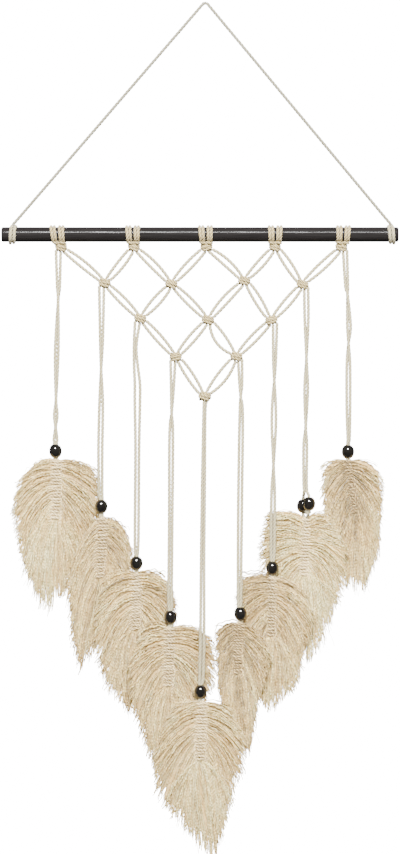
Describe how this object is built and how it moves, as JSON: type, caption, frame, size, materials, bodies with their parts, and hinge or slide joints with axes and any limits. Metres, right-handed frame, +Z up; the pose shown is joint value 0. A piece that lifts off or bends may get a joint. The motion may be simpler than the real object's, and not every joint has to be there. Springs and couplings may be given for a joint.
{
  "type": "macrame wall hanging with rod",
  "caption": "Knotted cord net on a painted rod, hung from one cord, with beaded drops ending in leaf-shaped brushed fringes.",
  "frame": {"origin": "top of the hanging cord, where it bears on a nail or hook in the wall", "axes": "+Z up; the front, where the fringes and beads face the room, looks along -Y; the rod runs along X, and +X is to the viewer's right"},
  "size_m": [0.4, 0.0247, 0.8599],
  "materials": {
    "cord": "plied natural cotton cord",
    "fringe": "brushed-out natural cotton cord, cream to golden beige",
    "rod": "black satin paint",
    "bead": "glossy black"
  },
  "bodies": {
    "root": {"rod": "rod", "net": "cord", "hanging_cord": "cord", "bead_1": "bead", "bead_2": "bead", "bead_3": "bead", "bead_4": "bead", "bead_5": "bead", "bead_6": "bead", "bead_7": "bead", "bead_8_back": "bead", "bead_8_front": "bead", "bead_9": "bead", "fringe_1": "fringe", "fringe_2": "fringe", "fringe_3": "fringe", "fringe_4": "fringe", "fringe_5": "fringe", "fringe_6": "fringe", "fringe_7": "fringe", "fringe_8": "fringe", "fringe_9": "fringe"}
  },
  "joints": []
}
